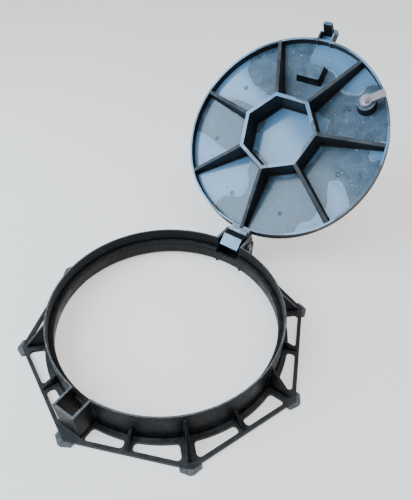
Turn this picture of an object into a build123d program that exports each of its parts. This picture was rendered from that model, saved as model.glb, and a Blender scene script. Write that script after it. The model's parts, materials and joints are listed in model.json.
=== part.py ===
from build123d import *
import os
from math import cos, hypot, pi, radians, sin, sqrt

# Hinged, lockable ductile iron manhole cover with its octagonal frame.
# Millimetres. +Z is up, the hinge is on the +Y side and the nose socket on the -Y side.
# Everything is modelled with the frame standing on z = 0 and the cover closed. The cover
# and the lock are then swung open about the hinge pin, and the whole is moved down so that
# the origin is where the axis of the clear opening meets the plane of the seat ledge.

# ---- Frame: ring ----
clear_opening = 600.0        # diameter that a person passes through
frame_height = 100.0
seat_depth = 40.0            # ledge that carries the gasket, below street level
seat_width = 11.0
seat_thickness = 9.0
rim_wall = 6.0               # wall round the cover, above the seat
foot_lean = 6.0              # how far the lower wall leans out, inside
foot_flare = 14.0            # extra flare at the very foot, inside
flare_height = 17.0
foot_flange = 16.0           # ledge outside the wall at the foot
cast_round = 1.5             # small rounding on the edges of the rim

# ---- Frame: octagonal base ----
base_thickness = 10.0
window_width = 21.0          # from the ring foot to the outer bar, mid side
bar_width = 10.0             # outer bar of the octagon
corner_strut = 34.0
side_strut = 22.0
window_round = 9.0
lug_reach = 12.0             # anchoring pads beyond the corners
lug_width = 51.0
lug_tip_width = 8.0
lug_thickness = 5.0
gusset_thickness = 11.0      # at the foot
gusset_top_thickness = 5.0
gusset_setback = 14.0        # corner gusset's foot, inside the corner
gusset_drop = 14.0           # top of the corner gussets below the rim
side_gusset_top = 38.0

# ---- Frame: nose socket ----
socket_wall = 5.5
socket_length = 51.0         # beyond the outside of the ring

# ---- Frame: hinge housing ----
hinge_offset = 51.0          # pin axis outside the clear opening
hinge_drop = 29.0            # pin axis below street level
open_angle = 133.0
cheek_thickness = 8.0
cheek_reach_top = 23.0       # beyond the pin axis, at street level
cheek_foot_height = 10.0
stop_wall = 8.0
hinge_foot_margin = 10.0

# ---- Hinge pin set ----
pin_diameter = 16.0
pin_head_diameter = 24.0
pin_head_thickness = 5.0
pin_tail = 6.5               # beyond the washer, for the split pin
hinge_washer_diameter = 28.0
hinge_washer_thickness = 2.5
split_pin_diameter = 3.2
split_pin_length = 26.0

# ---- Gasket ----
gasket_setback = 3.0         # from the edge of the clear opening
gasket_gap = 0.5             # to the wall behind it
gasket_thickness = 3.8

# ---- Cover: disc and ribs ----
cover_gap = 2.5              # round the cover at street level
plate_thickness = 7.0
tread_depth = 3.0            # plate sunk below the flush rim band
rim_band = 10.5
skirt_thickness = 6.0
relief_start = 1.5           # depth at which the hinge side of the skirt starts to draw in
relief_end = 18.0
rib_count = 7
rib_thickness = 10.0
rib_depth = 90.0             # at the hub, below street level
hub_radius = 113.0           # corners of the heptagonal hub, mid wall
hub_wall = 10.0
rib_phase = 90.0             # direction of the first rib, degrees

# ---- Cover: hinge arm ----
arm_width = 62.0
knuckle_side = 5.5           # how far the knuckle stands out on each side of the arm
knuckle_diameter = 40.0
knuckle_gap = 1.5            # knuckle to cheek
heel_depth = 70.0            # below street level
heel_reach_out = 21.0        # beyond the pin axis
heel_reach_in = 16.0         # towards the cover
web_depth = 52.0             # underside of the arm beside the skirt
web_length = 10.0

# ---- Cover: nose ----
nose_width = 46.0
nose_reach = 46.5            # beyond the edge of the cover
nose_clearance = 3.5
nose_round = 10.0
nose_wall = 5.0
nose_wall_reach = 31.0
leg_root_width = 32.0
leg_tip_width = 26.0
leg_thickness = 8.5
leg_offset = 21.5            # inner face of the leg beyond the edge of the cover
leg_lean = 7.0
leg_depth = 64.0

# ---- Cover: pick pocket ----
pocket_inset = 90.0          # middle of the pocket to the edge of the clear opening
pocket_top = (84.0, 56.0)
pocket_bottom = (72.0, 42.0)
pocket_depth = 42.0
pocket_shell = 6.0
pick_slot = (46.0, 15.0)

# ---- Lock ----
lock_inset = 45.0            # lock axis to the edge of the clear opening
lock_direction = 320.0
lock_boss_radius = 26.0
lock_boss_draft = 3.0
lock_boss_depth = 46.0
spindle_diameter = 16.0
spindle_head_margin = 2.0    # head across flats, over the spindle's diameter
spindle_head_height = 8.0
spindle_square_share = 0.7   # of the spindle's diameter
thread_diameter = 12.0
bush_wall = 6.0
bush_flange_margin = 4.0
bush_flange = 1.2
bush_top_depth = 10.0
spring_height = 1.8
spring_sheet = 0.8
latch_thickness = 8.0
latch_width = 22.0
latch_eye_radius = 17.0
latch_overhang = 8.5         # how far the tip passes the clear opening
lock_washer_diameter = 24.0
lock_washer_thickness = 2.5
nut_flats = 19.0
nut_height = 10.0
thread_tail = 3.5
seal_section = 1.6
seal_depth = 30.0
cap_thickness = 5.5

# ---- Clearances ----
running_fit = 0.08           # radial, a pin turning in its bore
seated_fit = 0.05            # radial, a piece that only sits in its hole
stop_gap = 0.3
swing_gap = 1.8              # skirt to rim as the cover swings up
sweep_gap = 2.0              # arm to the housing round it
latch_gap = 2.0

# ---- Derived places ----
opening_radius = clear_opening / 2
seat_height = frame_height - seat_depth
rim_inner = opening_radius + seat_width
rim_outer = rim_inner + rim_wall
flange_outer = rim_outer + foot_flange
octagon_apothem = flange_outer + window_width + bar_width
octagon_radius = octagon_apothem / cos(pi / 8)
cover_radius = rim_inner - cover_gap
skirt_inner = cover_radius - skirt_thickness
plate_top = frame_height - tread_depth
plate_bottom = plate_top - plate_thickness
skirt_bottom = seat_height + gasket_thickness + 0.2
hinge_y = opening_radius + hinge_offset
hinge_height = frame_height - hinge_drop
cheek_inner = arm_width / 2 + knuckle_side + knuckle_gap
cheek_outer = cheek_inner + cheek_thickness
stop_inner = hinge_y + hinge_drop + sweep_gap
stop_outer = stop_inner + stop_wall
heel_sweep = hypot(heel_reach_out, heel_depth - hinge_drop) + sweep_gap
socket_inner = nose_width / 2 + nose_clearance
socket_outer = socket_inner + socket_wall
socket_end = rim_outer + socket_length
pin_radius = pin_diameter / 2
spindle_radius = spindle_diameter / 2
spindle_head = spindle_diameter + spindle_head_margin
spindle_square = spindle_diameter * spindle_square_share
bush_radius = spindle_radius + bush_wall
hinge_axis = Axis((0, hinge_y, hinge_height), (1, 0, 0))
hub_bottom = frame_height - rib_depth
pocket_distance = opening_radius - pocket_inset
lock_distance = opening_radius - lock_inset
latch_top = frame_height - lock_boss_depth - bush_flange - spring_height
latch_bottom = latch_top - latch_thickness
latch_reach = lock_inset + latch_overhang
lock_place = Rot(0, 0, lock_direction) * Pos(lock_distance, 0, 0)


def opened(shape):
    """Swing a closed piece about the hinge pin to its rest position, held open."""
    return shape.rotate(hinge_axis, -open_angle)


def turned(points, rounding=0.0, rounded_from=0.0):
    """Solid of revolution about Z from (radius, height) points, corners rounded above a height."""
    outline = make_face(Polyline(*points, close=True))
    if rounding:
        corners = [corner for corner in outline.vertices() if corner.Y > rounded_from]
        outline = fillet(corners, rounding)
    return revolve(Plane.XZ * outline, Axis.Z)


def upright(outline, thickness):
    """Plate of the given thickness, centred on the XZ plane, from an (x, z) outline."""
    return extrude(Plane.XZ * outline, thickness / 2, both=True)


def across_hinge(outline, x_from, x_to):
    """Prism along X from a (y, z) outline."""
    return Pos(x_from, 0, 0) * extrude(Plane.YZ * outline, x_to - x_from, dir=(1, 0, 0))


def block(x_size, y_from, y_to, z_from, z_to):
    """Box centred on X = 0."""
    return Pos(0, (y_from + y_to) / 2, (z_from + z_to) / 2) * Box(x_size, y_to - y_from, z_to - z_from)


def bar_along_x(radius, x_from, x_to):
    """Round bar on the hinge axis."""
    place = Pos((x_from + x_to) / 2, hinge_y, hinge_height) * Rot(0, 90, 0)
    return place * Cylinder(radius, x_to - x_from)


def tube(outer, inner, z_from, z_to):
    height = z_to - z_from
    return Pos(0, 0, z_from + height / 2) * (Cylinder(outer, height) - Cylinder(inner, height + 2))


def rod(radius, z_from, z_to):
    return Pos(0, 0, (z_from + z_to) / 2) * Cylinder(radius, z_to - z_from)


# ---- Frame casting ----
def ring_wall():
    points = [
        (rim_inner, frame_height),
        (rim_inner, seat_height),
        (opening_radius, seat_height),
        (opening_radius, seat_height - seat_thickness),
        (opening_radius + foot_lean, flare_height),
        (opening_radius + foot_lean + foot_flare, 0),
        (flange_outer, 0),
        (flange_outer, base_thickness),
        (rim_outer + 4, base_thickness),
        (rim_outer, base_thickness + 10),
        (rim_outer, frame_height),
    ]
    return turned(points, cast_round, seat_height + 1)


def strut_width(corner):
    """Corner 2 carries the hinge and corner 6 the socket; the others only a gusset."""
    if corner == 2:
        return 2 * (cheek_outer + hinge_foot_margin)
    if corner == 6:
        return 2 * socket_outer + 8
    return corner_strut


def base_windows():
    field = RegularPolygon((octagon_apothem - bar_width) / cos(pi / 8), 8) - Circle(flange_outer)
    outwards = Pos(octagon_radius / 2, 0)
    for corner in range(8):
        field -= Rot(0, 0, 45 * corner) * outwards * Rectangle(octagon_radius, strut_width(corner))
        field -= Rot(0, 0, 45 * corner + 22.5) * outwards * Rectangle(octagon_radius, side_strut)
    return fillet(field.vertices(), window_round)


def lug(corner):
    root = octagon_radius - 20
    tip = octagon_radius + lug_reach
    half = lug_width / 2
    if corner == 2:
        half = strut_width(corner) / 2
    outline = Polygon((root, -half), (octagon_radius, -half), (tip, -lug_tip_width / 2),
                      (tip, lug_tip_width / 2), (octagon_radius, half), (root, half), align=None)
    return Rot(0, 0, 45 * corner) * extrude(outline, lug_thickness)


def base_plate():
    sheet = RegularPolygon(octagon_radius, 8) - Circle(flange_outer - 5) - base_windows()
    plate = extrude(sheet, base_thickness)
    for corner in range(8):
        plate += lug(corner)
    return plate


def gusset(direction, reach, top):
    """Web from the base up to the ring, drawn in towards its top."""
    root = rim_outer - 2
    foot = base_thickness - 1
    outline = Polygon((root, foot), (reach, foot), (reach, foot + 4), (root + 6, top), (root, top),
                      align=None)
    across = Polygon((-gusset_thickness / 2, foot), (gusset_thickness / 2, foot),
                     (gusset_top_thickness / 2, top), (-gusset_top_thickness / 2, top), align=None)
    taper = Pos(root, 0, 0) * extrude(Plane.YZ * across, reach - root, dir=(1, 0, 0))
    return Rot(0, 0, direction) * (upright(outline, gusset_thickness) & taper)


def socket_shell():
    """Open box outside the ring that receives the nose."""
    return block(2 * socket_outer, -socket_end, -(rim_outer - 3), 0, frame_height)


def socket_cavity():
    cavity = block(2 * socket_inner, -(socket_end - socket_wall), -(rim_outer - 8), -1, frame_height + 1)
    cavity -= rod(rim_outer, -2, frame_height + 2)
    notch = block(2 * socket_inner, -(rim_outer + 2), -(opening_radius + 2), seat_height, frame_height + 1)
    return cavity + notch


def stop_height(y):
    """Height of the open cover's street face above the point y, less the stop gap."""
    face = frame_height - hinge_height + stop_gap
    swing = radians(open_angle)
    return hinge_height + (sin(swing) * (y - hinge_y) - face) / -cos(swing)


def hinge_housing():
    top_end = hinge_y + cheek_reach_top
    root = rim_inner + 0.5
    cheek = Polygon((root, 0), (stop_outer, 0), (stop_outer, cheek_foot_height), (top_end, frame_height),
                    (root, frame_height), align=None)
    right = across_hinge(cheek, cheek_inner, cheek_outer)
    left = across_hinge(cheek, -cheek_outer, -cheek_inner)
    wall = Polygon((stop_inner, stop_height(stop_inner)), (stop_outer, stop_height(stop_outer)),
                   (stop_outer, 0), (stop_inner, 0), align=None)
    return right + left + across_hinge(wall, -cheek_outer + 1, cheek_outer - 1)


def hinge_cavity():
    """Room for the arm to swing: ring wall and ledge cut away between the cheeks."""
    width = 2 * cheek_inner
    low = frame_height - web_depth - sweep_gap
    sweep = bar_along_x(heel_sweep, -cheek_inner, cheek_inner)
    sweep &= block(width, opening_radius - 20, hinge_y, 0, frame_height)
    return sweep + block(width, opening_radius - 20, rim_outer + 1, low, frame_height + 1)


def latch_keeper():
    """Pocket under the ledge that the latch swings into, open to the clear opening."""
    sweep = hypot(latch_reach, latch_width / 2) + latch_gap
    low = latch_bottom - 1
    high = latch_top + 0.7
    side = latch_width / 2 + latch_gap + 1
    room = rod(sweep, low, high)
    room -= Pos(0, -side - sweep, 0) * Box(4 * sweep, 2 * sweep, 4 * frame_height)
    return lock_place * room


def frame_casting():
    frame = ring_wall() + base_plate()
    for corner in range(8):
        if corner not in (2, 6):
            frame += gusset(45 * corner, octagon_radius - gusset_setback, frame_height - gusset_drop)
        frame += gusset(45 * corner + 22.5, octagon_apothem - bar_width / 2, side_gusset_top)
    frame += socket_shell()
    frame += hinge_housing()
    frame -= socket_cavity()
    frame -= hinge_cavity()
    frame -= latch_keeper()
    frame -= bar_along_x(pin_radius + seated_fit, -cheek_outer - 5, cheek_outer + 5)
    return frame


# ---- Cover casting, closed ----
def swing_limit(x):
    """Furthest y that the skirt may reach at x and still pass the rim as it swings up."""
    wall = sqrt(rim_inner ** 2 - x ** 2)
    return hinge_y - hypot(hinge_y - wall, hinge_drop) - swing_gap


def relief_circle():
    """Radius and centre (y) of the larger circle that the skirt follows on the hinge side."""
    near_x = cheek_inner
    far_x = 0.65 * rim_inner
    drop = swing_limit(near_x) - swing_limit(far_x)
    rise = ((far_x ** 2 - near_x ** 2) / drop + drop) / 2
    return hypot(rise, near_x), swing_limit(near_x) - rise


def disc():
    radius, centre = relief_circle()
    upper = frame_height - relief_start
    lower = frame_height - relief_end
    top_centre = cover_radius - radius + 0.5
    body = rod(cover_radius, upper, frame_height)
    slope = loft([Pos(0, top_centre, upper) * Circle(radius), Pos(0, centre, lower) * Circle(radius)])
    body += slope & rod(cover_radius, lower, upper)
    body += rod(cover_radius, skirt_bottom, lower) & Pos(0, centre, 0) * rod(radius, skirt_bottom, lower)
    body -= rod(cover_radius - rim_band, plate_top, frame_height + 1)
    inside = rod(skirt_inner, skirt_bottom - 1, plate_bottom)
    inside &= Pos(0, centre, 0) * rod(radius - skirt_thickness, skirt_bottom - 1, plate_bottom)
    return body - inside


def ribs():
    edge = skirt_inner + skirt_thickness / 2
    inner = hub_radius - 2
    top = plate_bottom + 1
    outline = Polygon((inner, hub_bottom), (hub_radius + 3, hub_bottom),
                      (skirt_inner - 0.5, skirt_bottom - 0.5), (edge, skirt_bottom + 2),
                      (edge, top), (inner, top), align=None)
    rib = upright(outline, rib_thickness)
    step = 360 / rib_count
    body = Rot(0, 0, rib_phase) * rib
    for number in range(1, rib_count):
        body += Rot(0, 0, rib_phase + step * number) * rib
    return body


def hub():
    offset = hub_wall / 2 / cos(pi / rib_count)
    outline = RegularPolygon(hub_radius + offset, rib_count) - RegularPolygon(hub_radius - offset, rib_count)
    return Rot(0, 0, rib_phase) * Pos(0, 0, hub_bottom) * extrude(outline, plate_bottom + 1 - hub_bottom)


def hinge_arm():
    radius, centre = relief_circle()
    start = centre + radius - skirt_thickness / 2
    out_y = hinge_y + heel_reach_out
    in_y = hinge_y - heel_reach_in
    shoulder_z = hinge_height - sqrt(hinge_drop ** 2 - heel_reach_out ** 2)
    heel_z = frame_height - heel_depth
    web_z = frame_height - web_depth
    outline = make_face([
        Line((start, frame_height), (hinge_y, frame_height)),
        ThreePointArc((hinge_y, frame_height), (hinge_y + hinge_drop, hinge_height), (out_y, shoulder_z)),
        Polyline((out_y, shoulder_z), (out_y, heel_z), (in_y, heel_z), (cover_radius + web_length, web_z),
                 (cover_radius - 0.5, web_z), (cover_radius - 0.5, skirt_bottom), (start, skirt_bottom),
                 (start, frame_height)),
    ])
    arm = across_hinge(outline, -arm_width / 2, arm_width / 2)
    side = arm_width / 2 + knuckle_side
    arm += bar_along_x(knuckle_diameter / 2, -side, side)
    return arm - bar_along_x(pin_radius + running_fit, -arm_width, arm_width)


def nose():
    root = cover_radius - 9
    tip = cover_radius + nose_reach
    half = nose_width / 2
    tongue = Polygon((-half, -root), (-half, -tip), (half, -tip), (half, -root), align=None)
    tongue = fillet(tongue.vertices().sort_by(Axis.Y)[:2], nose_round)
    body = Pos(0, 0, plate_bottom) * extrude(tongue, frame_height - plate_bottom)
    wall_end = cover_radius + nose_wall_reach
    low = skirt_bottom
    high = plate_bottom + 1
    wall = Polygon((-wall_end, high), (-wall_end + 8, low), (-root, low), (-root, high), align=None)
    body += across_hinge(wall, half - nose_wall, half)
    body += across_hinge(wall, -half, nose_wall - half)
    face = cover_radius + leg_offset
    bottom = frame_height - leg_depth
    leg = loft([
        Pos(0, -face - leg_thickness / 2, high) * Rectangle(leg_root_width, leg_thickness),
        Pos(0, -face - leg_lean - leg_thickness / 2, bottom) * Rectangle(leg_tip_width, leg_thickness),
    ])
    return body + leg


def pocket_place(z):
    return Pos(0, -pocket_distance, z)


def pick_pocket():
    """Blind box under the plate for the lifting pick, and its raised surround."""
    bottom = frame_height - pocket_depth
    shell = loft([
        pocket_place(plate_bottom + 1) * RectangleRounded(*pocket_top, 5),
        pocket_place(bottom) * RectangleRounded(*pocket_bottom, 5),
    ])
    surround = extrude(RectangleRounded(*pocket_top, 6), tread_depth + 1)
    return shell + pocket_place(plate_top - 1) * surround


def pick_cavity():
    bottom = frame_height - pocket_depth + pocket_shell
    width = pocket_bottom[0] - 2 * pocket_shell
    length = pocket_bottom[1] - 2 * pocket_shell
    room = pocket_place(bottom) * extrude(RectangleRounded(width, length, 3), plate_bottom - bottom)
    slot = extrude(SlotOverall(*pick_slot), plate_thickness + 6)
    return room + pocket_place(plate_bottom - 1) * slot


def lock_boss():
    low = frame_height - lock_boss_depth
    height = plate_bottom + 1 - low
    cone = Pos(0, 0, low + height / 2) * Cone(lock_boss_radius, lock_boss_radius + lock_boss_draft, height)
    surround = rod(lock_boss_radius - 2, plate_top - 1, frame_height)
    return lock_place * (cone + surround)


def lock_hole():
    return lock_place * rod(bush_radius, latch_bottom, frame_height + 1)


def cover_casting():
    cover = disc() + hub() + ribs()
    cover += hinge_arm()
    cover += nose()
    cover += pick_pocket()
    cover += lock_boss()
    cover -= pick_cavity()
    cover -= lock_hole()
    return cover


# ---- Gasket ----
def seat_gasket():
    outer = rim_inner - gasket_gap
    ring = tube(outer, opening_radius + gasket_setback, seat_height, seat_height + gasket_thickness)
    return ring - block(2 * cheek_inner + 2, 0, rim_outer, seat_height - 1, frame_height)


# ---- Hinge pin set ----
def hinge_pin():
    end = cheek_outer + hinge_washer_thickness
    pin = bar_along_x(pin_radius, -end, end + pin_tail)
    pin += bar_along_x(pin_head_diameter / 2, -end - pin_head_thickness, -end)
    return pin - split_pin_place() * Cylinder(split_pin_diameter / 2 + seated_fit, pin_diameter + 4)


def split_pin_place():
    x = cheek_outer + hinge_washer_thickness + pin_tail / 2
    return Pos(x, hinge_y, hinge_height) * Rot(35, 0, 0)


def hinge_split_pin():
    wire = split_pin_diameter / 2
    eye = Pos(0, 0, split_pin_length / 2 + 2.5 * wire) * Rot(0, 90, 0) * Torus(2.2 * wire, wire)
    return split_pin_place() * (Cylinder(wire, split_pin_length) + eye)


def hinge_washers():
    washers = []
    for start in (-cheek_outer - hinge_washer_thickness, cheek_outer):
        end = start + hinge_washer_thickness
        disc_part = bar_along_x(hinge_washer_diameter / 2, start, end)
        washers.append(disc_part - bar_along_x(pin_radius + seated_fit, start - 1, end + 1))
    return Compound(children=[Solid(washer.solids()[0].wrapped) for washer in washers])


# ---- Lock, closed ----
def lock_bush():
    low = frame_height - lock_boss_depth - bush_flange
    boss_face = frame_height - lock_boss_depth
    top = frame_height - bush_top_depth
    body = rod(bush_radius - seated_fit, low, top) + rod(bush_radius + bush_flange_margin, low, boss_face)
    body -= rod(spindle_radius + running_fit, low - 1, top + 1)
    body -= rod(spindle_head / 2 / cos(pi / 6) + 0.6, head_seat(), top + 1)
    return lock_place * body


def head_seat():
    return frame_height - bush_top_depth - spindle_head_height + 2


def lock_spindle():
    seat = head_seat()
    body = rod(spindle_radius, latch_top, seat)
    head = RegularPolygon(spindle_head / 2, 6, major_radius=False)
    body += Pos(0, 0, seat) * extrude(head, spindle_head_height)
    body += Pos(0, 0, latch_bottom) * extrude(Rectangle(spindle_square, spindle_square), latch_thickness + 1)
    body += rod(thread_diameter / 2, thread_end(), latch_bottom + 1)
    groove_z = frame_height - seal_depth
    body -= tube(spindle_radius + 1, spindle_radius - seal_section, groove_z - 1, groove_z + 1)
    return lock_place * body


def thread_end():
    return latch_bottom - lock_washer_thickness - nut_height - thread_tail


def lock_seal_ring():
    section = seal_section / 2
    ring = Torus(spindle_radius - section, section - 0.02)
    return lock_place * Pos(0, 0, frame_height - seal_depth) * ring


def lock_spring():
    """Disc spring that keeps the latch from turning by itself."""
    inner = spindle_radius + 0.3
    outer = bush_radius
    low = latch_top + 0.05
    high = latch_top + spring_height - 0.05
    cone = turned([(inner, high), (inner, high - spring_sheet), (outer, low), (outer, low + spring_sheet)])
    return lock_place * cone


def latch_bar():
    nose_centre = latch_reach - latch_width / 2
    eye = Circle(latch_eye_radius)
    tip = Pos(nose_centre, 0) * RectangleRounded(latch_width, latch_width, 3)
    shank = Pos(nose_centre / 2, 0) * Rectangle(nose_centre, latch_width)
    hole = spindle_square + 2 * seated_fit
    outline = eye + tip + shank - Rectangle(hole, hole)
    return lock_place * Pos(0, 0, latch_bottom) * extrude(outline, latch_thickness)


def lock_washer():
    low = latch_bottom - lock_washer_thickness
    return lock_place * tube(lock_washer_diameter / 2, thread_diameter / 2 + seated_fit, low, latch_bottom)


def lock_nut():
    top = latch_bottom - lock_washer_thickness
    hexagon = RegularPolygon(nut_flats / 2, 6, major_radius=False)
    body = Pos(0, 0, top - nut_height) * extrude(hexagon, nut_height)
    crown = Pos(0, 0, top - nut_height / 2) * Cone(nut_flats * 0.5, nut_flats * 0.5 + 3.5, nut_height)
    body = body & crown
    return lock_place * (body - rod(thread_diameter / 2 + seated_fit, top - nut_height - 1, top + 1))


def lock_dust_cap():
    top = frame_height - 0.3
    body = rod(bush_radius - seated_fit, top - cap_thickness, top)
    grip = Pos(0, 0, top - 1.5) * extrude(SlotOverall(1.1 * bush_radius, 3.0), 3)
    return lock_place * (body - grip)


def build():
    return {
        "frame_casting": frame_casting(),
        "seat_gasket": seat_gasket(),
        "hinge_pin": hinge_pin(),
        "hinge_washers": hinge_washers(),
        "hinge_split_pin": hinge_split_pin(),
        "cover_casting": opened(cover_casting()),
        "lock_bush": opened(lock_bush()),
        "lock_seal_ring": opened(lock_seal_ring()),
        "lock_dust_cap": opened(lock_dust_cap()),
        "lock_spindle": opened(lock_spindle()),
        "lock_spring": opened(lock_spring()),
        "latch_bar": opened(latch_bar()),
        "lock_washer": opened(lock_washer()),
        "lock_nut": opened(lock_nut()),
    }


os.makedirs("parts", exist_ok=True)
for name, shape in build().items():
    export_step(Pos(0, 0, -seat_height) * shape, f"parts/{name}.step")
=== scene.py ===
import json
import random
from math import cos, pi, radians, sin, sqrt

import bmesh
import bpy
from mathutils import Matrix, Vector


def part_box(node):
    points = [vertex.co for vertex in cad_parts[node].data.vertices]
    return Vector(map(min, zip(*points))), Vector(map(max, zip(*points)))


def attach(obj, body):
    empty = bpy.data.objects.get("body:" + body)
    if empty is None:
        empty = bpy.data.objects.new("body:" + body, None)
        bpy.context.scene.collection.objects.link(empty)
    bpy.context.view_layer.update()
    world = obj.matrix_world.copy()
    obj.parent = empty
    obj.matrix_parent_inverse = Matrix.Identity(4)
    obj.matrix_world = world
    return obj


# Hinged manhole cover, held open on its octagonal frame. Metres, in the row frame.
# Pieces on the cover are built as if it were shut, then swung open with it.

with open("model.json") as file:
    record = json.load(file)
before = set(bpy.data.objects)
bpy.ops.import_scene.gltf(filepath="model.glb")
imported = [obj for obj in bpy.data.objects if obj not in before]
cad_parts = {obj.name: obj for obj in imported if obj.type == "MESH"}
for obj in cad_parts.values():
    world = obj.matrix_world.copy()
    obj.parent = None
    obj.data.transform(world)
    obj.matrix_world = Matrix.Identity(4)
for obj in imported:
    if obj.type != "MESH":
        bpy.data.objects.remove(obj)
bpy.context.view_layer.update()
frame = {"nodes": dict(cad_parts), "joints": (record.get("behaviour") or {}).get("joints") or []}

PLATE = 0.010                # underside of the cover plate, below street level
FIELD = 0.003                # depth of the tread field
RIM_BAND = 0.0105
SKIRT = 0.006
RIB_COUNT = 7
RIB_HALF = 0.005
HUB_RADIUS = 0.113           # corners of the hub, middle of its wall
HUB_HALF = 0.005
FILLET = 0.007               # rounding where ribs meet the plate
PAD_PITCH = 0.034
PAD_SIZE = 0.0225
PAD_CORNER = 0.22            # half of the angle that a pad's blunt corner takes up
PAD_STEPS = ((1.0, -FIELD), (0.90, -0.0010), (0.80, -0.0002), (0.60, 0.0))     # share of the size, height
STUD_STEPS = ((0.0042, -FIELD), (0.0036, -0.0010), (0.0026, -0.0004))          # radius, height
MARK_STEPS = ((1.0, 0.0001), (0.94, -0.0005), (0.80, -0.0006), (0.68, -0.0002))
BEAD_STEPS = (0.0, 0.35, 0.65, 0.88)     # share of the quarter circle from foot to top
BEAD_COUNT = 420
SUNK = 0.0002                # how far added pieces sink into the casting
PAD_REACH = 0.380            # the frame's anchoring pads lie beyond this radius
RING_WALL = 0.311            # inner radius of the ring above its ledge
POCKET = (0.0, -0.210, 0.052)    # x, y and half width to keep clear of, on the cover
LOCK = (0.255, 320.0, 0.030)     # distance, direction in degrees, radius to keep clear of

CAMERA_LENS = 31.56
CAMERA_SHIFT = (0.0012, 0.0424)
CAMERA_AZIMUTH = 33.22           # degrees, from the nose side towards +X
CAMERA_ELEVATION = 45.23
CAMERA_ROLL = 1.55
CAMERA_TARGET = (-0.0438, 0.2487)    # on the floor
CAMERA_DISTANCE = 1.3978

frame_low, frame_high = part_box("frame_casting")
cover_low, cover_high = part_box("cover_casting")
STREET = frame_high.z
FLOOR = frame_low.z
COVER_RADIUS = (cover_high.x - cover_low.x) / 2
hinge = next(joint for joint in frame["joints"] if joint["name"] == "cover_hinge")
HINGE = Vector(hinge["pos_m"])
OPEN_ANGLE = radians(hinge["range_deg"][1])
SWING = Matrix.Translation(HINGE) @ Matrix.Rotation(-OPEN_ANGLE, 4, "X") @ Matrix.Translation(-HINGE)
LOCK_POINT = Vector((LOCK[0] * cos(radians(LOCK[1])), LOCK[0] * sin(radians(LOCK[1])), 0))


# ---- Node helpers ----
class Graph:
    """Short calls for building a material's nodes."""

    def __init__(self, name):
        self.material = bpy.data.materials.new(name)
        self.material.use_nodes = True
        self.tree = self.material.node_tree
        self.surface = self.tree.nodes["Principled BSDF"]

    def node(self, kind, **values):
        made = self.tree.nodes.new(kind)
        for name, value in values.items():
            setattr(made, name, value)
        return made

    def link(self, source, target):
        self.tree.links.new(source, target)

    def place(self):
        return self.node("ShaderNodeTexCoord").outputs["Object"]

    def noise(self, scale, detail=4.0, roughness=0.55, place=None, distortion=0.0):
        made = self.node("ShaderNodeTexNoise")
        made.inputs["Scale"].default_value = scale
        made.inputs["Detail"].default_value = detail
        made.inputs["Roughness"].default_value = roughness
        made.inputs["Distortion"].default_value = distortion
        self.link(place or self.place(), made.inputs["Vector"])
        return made.outputs["Fac"]

    def ramp(self, source, *stops):
        made = self.node("ShaderNodeValToRGB")
        points = made.color_ramp.elements
        while len(points) < len(stops):
            points.new(0.5)
        for point, (position, value) in zip(points, stops):
            point.position = position
            point.color = value if len(value) == 4 else (*value, 1.0)
        self.link(source, made.inputs["Fac"])
        return made.outputs["Color"]

    def span(self, source, low, high, to_low=0.0, to_high=1.0):
        made = self.node("ShaderNodeMapRange", clamp=True)
        for key, value in (("From Min", low), ("From Max", high), ("To Min", to_low), ("To Max", to_high)):
            made.inputs[key].default_value = value
        self.link(source, made.inputs["Value"])
        return made.outputs["Result"]

    def math(self, operation, first, second=None):
        made = self.node("ShaderNodeMath", operation=operation)
        for socket, value in zip(made.inputs, (first, second)):
            if isinstance(value, (int, float)):
                socket.default_value = value
            elif value is not None:
                self.link(value, socket)
        return made.outputs[0]

    def mix(self, share, first, second, blend="MIX"):
        made = self.node("ShaderNodeMix", data_type="RGBA", blend_type=blend)
        if isinstance(share, (int, float)):
            made.inputs["Factor"].default_value = share
        else:
            self.link(share, made.inputs["Factor"])
        for key, value in (("A", first), ("B", second)):
            socket = [item for item in made.inputs if item.name == key and item.type == "RGBA"][0]
            if isinstance(value, tuple):
                socket.default_value = (*value, 1.0)
            else:
                self.link(value, socket)
        return [item for item in made.outputs if item.type == "RGBA"][0]

    def edges(self, radius):
        """1 on sharp outer and inner edges, 0 on flats, and the rounded normal that shows them."""
        rounded = self.node("ShaderNodeBevel", samples=6)
        rounded.inputs["Radius"].default_value = radius
        flat = self.node("ShaderNodeNewGeometry").outputs["Normal"]
        dot = self.node("ShaderNodeVectorMath", operation="DOT_PRODUCT")
        self.link(rounded.outputs["Normal"], dot.inputs[0])
        self.link(flat, dot.inputs[1])
        return self.span(dot.outputs["Value"], 0.99, 0.82), rounded.outputs["Normal"]

    def facing(self, direction, low, high):
        """1 where the surface faces along a direction that is fixed to the piece."""
        dot = self.node("ShaderNodeVectorMath", operation="DOT_PRODUCT")
        self.link(self.node("ShaderNodeTexCoord").outputs["Normal"], dot.inputs[0])
        dot.inputs[1].default_value = direction
        return self.span(dot.outputs["Value"], low, high)

    def part_of(self, place, axis):
        made = self.node("ShaderNodeSeparateXYZ")
        self.link(place, made.inputs[0])
        return made.outputs[axis]

    def radius(self, place):
        """Distance from the axis of the clear opening."""
        x, y = self.part_of(place, "X"), self.part_of(place, "Y")
        return self.math("SQRT", self.math("ADD", self.math("MULTIPLY", x, x), self.math("MULTIPLY", y, y)))

    def bumps(self, normal, *layers):
        for height, strength, distance in layers:
            made = self.node("ShaderNodeBump")
            made.inputs["Strength"].default_value = strength
            made.inputs["Distance"].default_value = distance
            self.link(height, made.inputs["Height"])
            if normal is not None:
                self.link(normal, made.inputs["Normal"])
            normal = made.outputs["Normal"]
        self.link(normal, self.surface.inputs["Normal"])

    def set(self, **values):
        for name, value in values.items():
            socket = self.surface.inputs[name.replace("_", " ")]
            if hasattr(value, "is_linked"):
                self.link(value, socket)
            else:
                socket.default_value = (*value, 1.0) if isinstance(value, tuple) else value
        return self.material


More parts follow.
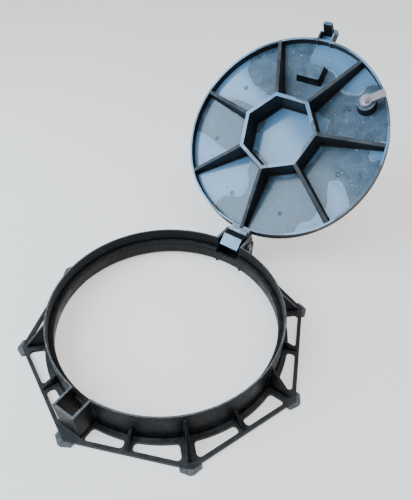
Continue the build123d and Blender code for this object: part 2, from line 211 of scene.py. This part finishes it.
# ---- Materials ----
def frame_paint():
    """Black bitumen paint on sand-cast iron: grey where it faces up, worn on the rim, the pads and edges."""
    g = Graph("frame_paint")
    place = g.place()
    edge, rounded = g.edges(0.0018)
    up = g.facing((0, 0, 1), 0.80, 0.97)
    height, reach = g.part_of(place, "Z"), g.radius(place)
    rim = g.math("MULTIPLY", up, g.span(height, STREET - 0.004, STREET - 0.002))
    low = g.span(height, FLOOR + 0.009, FLOOR + 0.007)
    pads = g.math("MULTIPLY", g.span(reach, PAD_REACH, PAD_REACH + 0.012), low)
    inside = g.span(reach, RING_WALL - 0.001, RING_WALL - 0.003)
    large = g.noise(7.0, 5.0, 0.6)
    patch = g.noise(38.0, 6.0, 0.68, distortion=0.5)
    spots = g.noise(110.0, 5.0, 0.75)
    grain = g.noise(420.0, 3.0, 0.6)
    # The lighter bluish patches put at random on the walls, and the large bluish blotches below, are painted sky
    # reflection in wet patches of the paint.
    walls = g.ramp(patch,
                   (0.38, (0.0010, 0.0012, 0.0015)),
                   (0.60, (0.0040, 0.0055, 0.0080)),
                   (0.82, (0.035, 0.045, 0.060)))
    brown = g.ramp(spots,
                   (0.46, (0.0014, 0.0010, 0.0010)),
                   (0.64, (0.008, 0.006, 0.005)),
                   (0.78, (0.070, 0.056, 0.044)))
    colour = g.mix(inside, walls, brown)
    colour = g.mix(g.span(large, 0.52, 0.72, 0.0, 0.30), colour, (0.020, 0.026, 0.036))
    level = g.ramp(patch, (0.32, (0.012, 0.014, 0.017)), (0.70, (0.070, 0.072, 0.074)))
    colour = g.mix(g.math("MULTIPLY", up, 0.85), colour, level)
    worn = g.ramp(spots, (0.35, (0.075, 0.080, 0.088)), (0.55, (0.170, 0.175, 0.185)), (0.75, (0.380, 0.390, 0.400)))
    colour = g.mix(g.math("MAXIMUM", rim, g.math("MULTIPLY", pads, 0.9)), colour, worn)
    rubbed = g.math("MULTIPLY", edge, g.span(patch, 0.35, 0.62, 0.10, 0.70))
    colour = g.mix(rubbed, colour, (0.20, 0.21, 0.22))
    rough = g.span(patch, 0.3, 0.75, 0.30, 0.62)
    g.bumps(rounded, (spots, 0.55, 0.0014), (grain, 0.25, 0.0004))
    return g.set(Base_Color=colour, Roughness=rough, Specular_IOR_Level=g.span(up, 0.0, 1.0, 0.14, 0.38))


def cover_paint():
    """The same paint, wet: water lies in films and beads on the faces that look out of the cover. The colour on
    those faces is painted sky reflection: light blue, a lighter film with a painted highlight along its edge, and
    bright specks of painted glint; faces turned a little away get a painted grey sheen.
    """
    g = Graph("cover_paint")
    place = g.place()
    edge, rounded = g.edges(0.0018)
    out = SWING.to_3x3() @ Vector((0, 0, -1))
    # Faces that look out of the cover face the sky light when it is open: this mask gives them the wet coat and also
    # their painted sky reflection.
    wet_and_painted_sky = g.facing(tuple(out), 0.975, 0.995)
    painted_sheen_tilt = g.facing(tuple(out), 0.93, 0.955)
    patch = g.noise(26.0, 6.0, 0.62, distortion=0.8)
    speck = g.noise(210.0, 4.0, 0.65)
    grain = g.noise(480.0, 3.0, 0.6)
    downhill = g.span(g.part_of(place, "Z"), HINGE.z, HINGE.z + 0.5, 0.085, -0.075)
    leftward = g.span(g.part_of(place, "X"), -COVER_RADIUS, COVER_RADIUS, 0.050, -0.070)
    depth = g.math("ADD", g.noise(5.2, 2.0, 0.35, distortion=0.35), g.math("ADD", downhill, leftward))
    pool_with_painted_sky = g.math("MULTIPLY", wet_and_painted_sky, g.span(depth, 0.510, 0.516))
    shore_highlight = g.math("MULTIPLY", g.span(depth, 0.506, 0.510), g.span(depth, 0.518, 0.513))
    dark = g.ramp(patch, (0.35, (0.003, 0.004, 0.006)), (0.78, (0.020, 0.026, 0.034)))
    # Painted sky reflection on the outward faces: light blue, broken by dark specks, with bright specks that are
    # painted glints.
    damp_sky_reflection = g.ramp(patch, (0.32, (0.040, 0.088, 0.150)), (0.52, (0.070, 0.145, 0.230)), (0.70, (0.110, 0.205, 0.310)))
    damp_sky_reflection = g.mix(g.span(speck, 0.42, 0.33, 0.0, 0.85), damp_sky_reflection, (0.018, 0.028, 0.042))
    damp_sky_reflection = g.mix(g.span(speck, 0.66, 0.73, 0.0, 0.7), damp_sky_reflection, (0.60, 0.68, 0.74))
    # Where the water film lies it is painted a lighter sky blue: painted reflection. The same mask also makes the
    # film smoother.
    film_sky_reflection = g.ramp(depth, (0.50, (0.120, 0.290, 0.500)), (0.62, (0.185, 0.390, 0.640)))
    colour = g.mix(pool_with_painted_sky, damp_sky_reflection, film_sky_reflection)
    # Painted highlight along the edge of the water film.
    colour = g.mix(g.math("MULTIPLY", shore_highlight, g.span(patch, 0.40, 0.60, 0.0, 0.6)), colour, (0.70, 0.82, 0.90))
    # Painted sheen: faces turned a little away from the outward ones are painted a lighter grey, the other sides
    # stay near black.
    tilted_face_sheen = g.ramp(patch, (0.35, (0.040, 0.050, 0.060)), (0.70, (0.100, 0.118, 0.135)))
    colour = g.mix(wet_and_painted_sky, g.mix(painted_sheen_tilt, dark, tilted_face_sheen), colour)
    # Edge wear in pale blue-grey, made stronger on the outward faces: partly real wear, partly painted sky
    # reflection on the edges.
    worn = g.math("MULTIPLY", edge, g.span(patch, 0.30, 0.60, 0.35, 1.0))
    colour = g.mix(g.math("MULTIPLY", worn, g.span(wet_and_painted_sky, 0.0, 1.0, 0.30, 0.85)), colour, (0.42, 0.50, 0.58))
    rough = g.mix(pool_with_painted_sky, g.span(patch, 0.32, 0.66, 0.26, 0.45), (0.10, 0.10, 0.10))
    rough = g.mix(wet_and_painted_sky, (0.55, 0.55, 0.55), rough)
    calm = g.span(pool_with_painted_sky, 0.0, 1.0, 1.0, 0.12)
    height = g.math("ADD", g.math("MULTIPLY", patch, 0.5), g.math("MULTIPLY", g.math("MULTIPLY", speck, calm), 0.5))
    g.bumps(rounded, (height, 0.35, 0.0012), (g.math("MULTIPLY", grain, calm), 0.18, 0.0003))
    return g.set(Base_Color=colour, Roughness=rough, Coat_Weight=g.math("MULTIPLY", wet_and_painted_sky, 0.8), Coat_Roughness=0.14,
                 Specular_IOR_Level=g.span(wet_and_painted_sky, 0.0, 1.0, 0.20, 0.50))


def steel(name, colour, dark, roughness):
    """Machined or stamped steel with fine brushing and dull spots."""
    g = Graph(name)
    edge, rounded = g.edges(0.0008)
    stain = g.noise(60.0, 5.0, 0.6)
    brushed = g.noise(900.0, 2.0, 0.5)
    base = g.mix(g.span(stain, 0.35, 0.70), colour, dark)
    base = g.mix(g.math("MULTIPLY", edge, 0.5), base, (0.80, 0.80, 0.84))
    g.bumps(rounded, (brushed, 0.12, 0.0002))
    rough = g.span(stain, 0.3, 0.7, roughness, roughness + 0.18)
    return g.set(Base_Color=base, Roughness=rough, Metallic=0.85)


def rubber():
    g = Graph("gasket_rubber")
    bloom = g.noise(45.0, 4.0, 0.6)
    fine = g.noise(600.0, 2.0, 0.5)
    colour = g.ramp(bloom, (0.35, (0.012, 0.012, 0.012)), (0.75, (0.040, 0.040, 0.041)))
    g.bumps(None, (fine, 0.2, 0.0003))
    return g.set(Base_Color=colour, Roughness=g.span(bloom, 0.3, 0.7, 0.55, 0.75), Specular_IOR_Level=0.3)


def bronze():
    g = Graph("bush_bronze")
    stain = g.noise(90.0, 4.0, 0.6)
    colour = g.ramp(stain, (0.35, (0.30, 0.19, 0.08)), (0.70, (0.52, 0.37, 0.19)))
    g.bumps(None, (g.noise(700.0, 2.0, 0.5), 0.1, 0.0002))
    return g.set(Base_Color=colour, Roughness=g.span(stain, 0.3, 0.7, 0.30, 0.50), Metallic=0.9)


def plastic():
    g = Graph("cap_plastic")
    scuff = g.noise(80.0, 5.0, 0.65)
    colour = g.ramp(scuff, (0.40, (0.018, 0.018, 0.020)), (0.75, (0.055, 0.055, 0.057)))
    g.bumps(None, (g.noise(800.0, 2.0, 0.5), 0.15, 0.0002))
    return g.set(Base_Color=colour, Roughness=g.span(scuff, 0.3, 0.7, 0.42, 0.6))


def water():
    g = Graph("water_beads")
    swirl = g.noise(120.0, 2.0, 0.5)
    g.bumps(None, (swirl, 0.1, 0.0003))
    tint = g.ramp(swirl, (0.3, (0.70, 0.80, 0.88)), (0.7, (0.90, 0.96, 1.0)))
    return g.set(Base_Color=tint, Roughness=0.04, IOR=1.33, Transmission_Weight=0.55)


def floor_paint():
    g = Graph("pale_floor")
    cloud = g.noise(1.2, 3.0, 0.5)
    colour = g.ramp(cloud, (0.3, (0.88, 0.88, 0.88)), (0.7, (0.91, 0.91, 0.91)))
    return g.set(Base_Color=colour, Roughness=0.85, Specular_IOR_Level=0.1,
                 Emission_Color=colour, Emission_Strength=0.85)


# ---- Mesh helpers ----
def finish(name, mesh, material, smooth=True):
    """Swing the piece open with the cover and hand it over."""
    mesh.transform(SWING)
    data = bpy.data.meshes.new(name)
    bmesh.ops.recalc_face_normals(mesh, faces=mesh.faces)
    mesh.to_mesh(data)
    mesh.free()
    piece = bpy.data.objects.new(name, data)
    bpy.context.scene.collection.objects.link(piece)
    data.materials.append(material)
    for face in data.polygons:
        face.use_smooth = smooth
    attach(piece, "cover")
    return piece


def ring(mesh, points):
    return [mesh.verts.new(point) for point in points]


def bridge(mesh, first, second, closed=True):
    count = len(first)
    for index in range(count if closed else count - 1):
        after = (index + 1) % count
        mesh.faces.new((first[index], first[after], second[after], second[index]))


def mound(mesh, rings):
    """Shell from a foot ring up to a capped top ring."""
    rows = [ring(mesh, points) for points in rings]
    for lower, upper in zip(rows, rows[1:]):
        bridge(mesh, lower, upper)
    mesh.faces.new(rows[-1])


def circle(x, y, radius, height, count, stretch=1.0):
    """Points of a level circle, drawn out along x by stretch and in along y by as much."""
    return [(x + stretch * radius * cos(2 * pi / count * k), y + radius * sin(2 * pi / count * k) / stretch, height)
            for k in range(count)]


# ---- Pieces on the cover ----
def in_field(x, y, margin):
    """True where the tread field is clear of the rim, the pick pocket and the lock."""
    place = Vector((x, y, 0))
    if place.length > COVER_RADIUS - RIM_BAND - margin:
        return False
    if abs(x) < POCKET[2] + margin and abs(y - POCKET[1]) < POCKET[2] * 0.65 + margin:
        return False
    return (place - LOCK_POINT).length > LOCK[2] + margin


def pad(mesh, x, y):
    """One raised tread pad: a square turned by 45 degrees with sloped sides and blunt corners."""
    angles = [pi / 2 * corner + step for corner in range(4) for step in (-PAD_CORNER, PAD_CORNER)]
    rings = []
    for size, height in PAD_STEPS:
        reach = 1.30 * PAD_SIZE * size / 2
        rings.append([(x + reach * cos(angle), y + reach * sin(angle), STREET + height) for angle in angles])
    mound(mesh, rings)


def stud(mesh, x, y):
    """A small round grip stud between the pads."""
    mound(mesh, [circle(x, y, radius, STREET + height, 8) for radius, height in STUD_STEPS])


def tread_pads(material):
    mesh = bmesh.new()
    count = int(COVER_RADIUS / PAD_PITCH) + 1
    for row in range(-count, count + 1):
        for column in range(-count, count + 1):
            x, y = row * PAD_PITCH, column * PAD_PITCH
            if in_field(x, y, PAD_SIZE * 0.62):
                pad(mesh, x, y)
            x, y = x + PAD_PITCH / 2, y + PAD_PITCH / 2
            if in_field(x, y, PAD_SIZE * 0.45):
                stud(mesh, x, y)
    finish("tread_pads", mesh, material, smooth=False)


def rib_directions():
    return [pi / 2 + 2 * pi * number / RIB_COUNT for number in range(RIB_COUNT)]


def fillet_strip(mesh, start, end, side):
    """Concave rounding between the plate and a wall, from start to end, leaning out along side."""
    steps = 5
    rows = []
    for step in range(steps + 1):
        angle = pi / 2 * step / steps
        across = FILLET * (1 - sin(angle)) - SUNK
        down = FILLET * (1 - cos(angle)) - SUNK
        offset = side * across - Vector((0, 0, down))
        rows.append(ring(mesh, [start + offset, end + offset]))
    for first, second in zip(rows, rows[1:]):
        bridge(mesh, first, second, closed=False)


def root_fillets(material):
    """Cast rounding along both sides of every rib and both faces of the hub."""
    mesh = bmesh.new()
    level = Vector((0, 0, STREET - PLATE))
    outer = COVER_RADIUS - SKIRT - 0.001
    half_angle = pi / RIB_COUNT
    for direction in rib_directions():
        along = Vector((cos(direction), sin(direction), 0))
        across = Vector((-sin(direction), cos(direction), 0))
        following = direction + 2 * half_angle
        after = Vector((cos(following), sin(following), 0))
        normal = Vector((cos(direction + half_angle), sin(direction + half_angle), 0))
        for sign in (-1, 1):
            foot = across * sign * RIB_HALF + level
            fillet_strip(mesh, along * (HUB_RADIUS + HUB_HALF / 2) + foot, along * outer + foot, across * sign)
        for sign in (-1, 1):
            size = HUB_RADIUS + sign * HUB_HALF / cos(half_angle)
            fillet_strip(mesh, along * size + level, after * size + level, normal * sign)
    finish("rib_root_fillets", mesh, material)


def casting_marks(material):
    """Low round casting marks on the underside, at most one in each bay."""
    mesh = bmesh.new()
    chance = random.Random(11)
    for direction in rib_directions():
        angle = direction + 2 * pi / RIB_COUNT * (0.45 + chance.uniform(-0.12, 0.12))
        reach = 0.225 + chance.uniform(-0.02, 0.02)
        x, y = reach * cos(angle), reach * sin(angle)
        if in_field(x, y, 0.012):
            size = chance.uniform(0.0055, 0.0075)
            mound(mesh, [circle(x, y, size * share, STREET - PLATE + height, 20) for share, height in MARK_STEPS])
    finish("casting_marks", mesh, material)


def clear_of_ribs(x, y, margin):
    place = Vector((x, y, 0))
    if abs(place.length - HUB_RADIUS * 0.95) < 0.013 + margin:
        return False
    for direction in rib_directions():
        along = Vector((cos(direction), sin(direction), 0))
        if place.dot(along) > HUB_RADIUS * 0.9 and abs(place.cross(along).z) < RIB_HALF + margin:
            return False
    return True


def water_beads(material):
    """Flattened drops on the underside of the plate."""
    mesh = bmesh.new()
    chance = random.Random(7)
    made = 0
    while made < BEAD_COUNT:
        angle, reach = chance.uniform(0, 2 * pi), 0.295 * sqrt(chance.random())
        x, y = reach * cos(angle), reach * sin(angle)
        size = 0.0008 + 0.0026 * chance.random() ** 3
        if not in_field(x, y, size) or not clear_of_ribs(x, y, size + 0.003):
            continue
        made += 1
        stretch = chance.uniform(0.8, 1.25)
        rings = []
        for share in BEAD_STEPS:
            level = STREET - PLATE + SUNK / 2 - size * 0.42 * sin(pi / 2 * share)
            rings.append(circle(x, y, size * cos(pi / 2 * share), level, 10, stretch))
        mound(mesh, rings)
    finish("water_beads", mesh, material)


# ---- Stage ----
def make_floor():
    data = bpy.data.meshes.new("floor")
    size = 60.0
    data.from_pydata([(-size, -size, FLOOR), (size, -size, FLOOR), (size, size, FLOOR), (-size, size, FLOOR)],
                     [], [(0, 1, 2, 3)])
    floor = bpy.data.objects.new("floor", data)
    bpy.context.scene.collection.objects.link(floor)
    data.materials.append(floor_paint())


def soft_light(name, centre, direction, distance, size, radiance, colour):
    """Square softbox that looks at centre from a direction. radiance is what a mirror would show."""
    data = bpy.data.lights.new(name, "AREA")
    data.shape = "SQUARE"
    data.size = size
    data.energy = radiance * pi * size * size
    data.color = colour
    light = bpy.data.objects.new(name, data)
    way = Vector(direction).normalized()
    light.location = Vector(centre) + way * distance
    light.rotation_euler = way.to_track_quat("Z", "Y").to_euler()
    bpy.context.scene.collection.objects.link(light)


def make_lights():
    cover_middle = SWING @ Vector((0, 0, STREET))
    soft_light("sky_light", cover_middle, (-0.50, -0.72, 0.56), 3.0, 2.3, 5.6, (0.64, 0.84, 1.0))
    soft_light("top_light", (0, 0.2, 0), (0.25, 0.15, 1.0), 3.2, 2.0, 1.6, (1.0, 0.98, 0.96))
    world = bpy.data.worlds.new("studio")
    world.use_nodes = True
    shade = world.node_tree.nodes["Background"]
    shade.inputs["Color"].default_value = (1.0, 1.0, 1.0, 1.0)
    shade.inputs["Strength"].default_value = 0.42
    bpy.context.scene.world = world


def make_camera():
    """Looks down at the photograph's angle, a little turned about its own line of sight."""
    data = bpy.data.cameras.new("camera")
    data.lens = CAMERA_LENS
    data.shift_x, data.shift_y = CAMERA_SHIFT
    data.clip_start = 0.05
    azimuth, elevation, roll = radians(CAMERA_AZIMUTH), radians(CAMERA_ELEVATION), radians(CAMERA_ROLL)
    target = Vector((*CAMERA_TARGET, FLOOR))
    back = Vector((sin(azimuth) * cos(elevation), -cos(azimuth) * cos(elevation), sin(elevation)))
    camera = bpy.data.objects.new("camera", data)
    turn = back.to_track_quat("Z", "Y").to_matrix().to_4x4() @ Matrix.Rotation(roll, 4, "Z")
    camera.matrix_world = Matrix.Translation(target + back * CAMERA_DISTANCE) @ turn
    bpy.context.scene.collection.objects.link(camera)
    bpy.context.scene.camera = camera


def paint_frame_nodes(materials):
    for node, material in materials.items():
        piece = frame["nodes"][node]
        piece.data.materials.clear()
        piece.data.materials.append(material)


black = frame_paint()
# The cover's paint: wet black, with painted sky reflection on its outward faces.
wet_black_and_sky_reflection = cover_paint()
bright = steel("lock_steel", (0.66, 0.65, 0.72), (0.40, 0.34, 0.40), 0.24)
dull = steel("plain_steel", (0.30, 0.30, 0.31), (0.10, 0.095, 0.09), 0.36)
seal = rubber()
paint_frame_nodes({
    "frame_casting": black, "seat_gasket": seal, "hinge_pin": dull, "hinge_washers": dull,
    "hinge_split_pin": dull, "cover_casting": wet_black_and_sky_reflection, "lock_bush": bronze(), "lock_seal_ring": seal,
    "lock_dust_cap": plastic(), "lock_spindle": bright, "lock_spring": bright, "latch_bar": bright,
    "lock_washer": bright, "lock_nut": bright,
})
tread_pads(wet_black_and_sky_reflection)
root_fillets(wet_black_and_sky_reflection)
casting_marks(wet_black_and_sky_reflection)
water_beads(water())
make_floor()
make_lights()
make_camera()
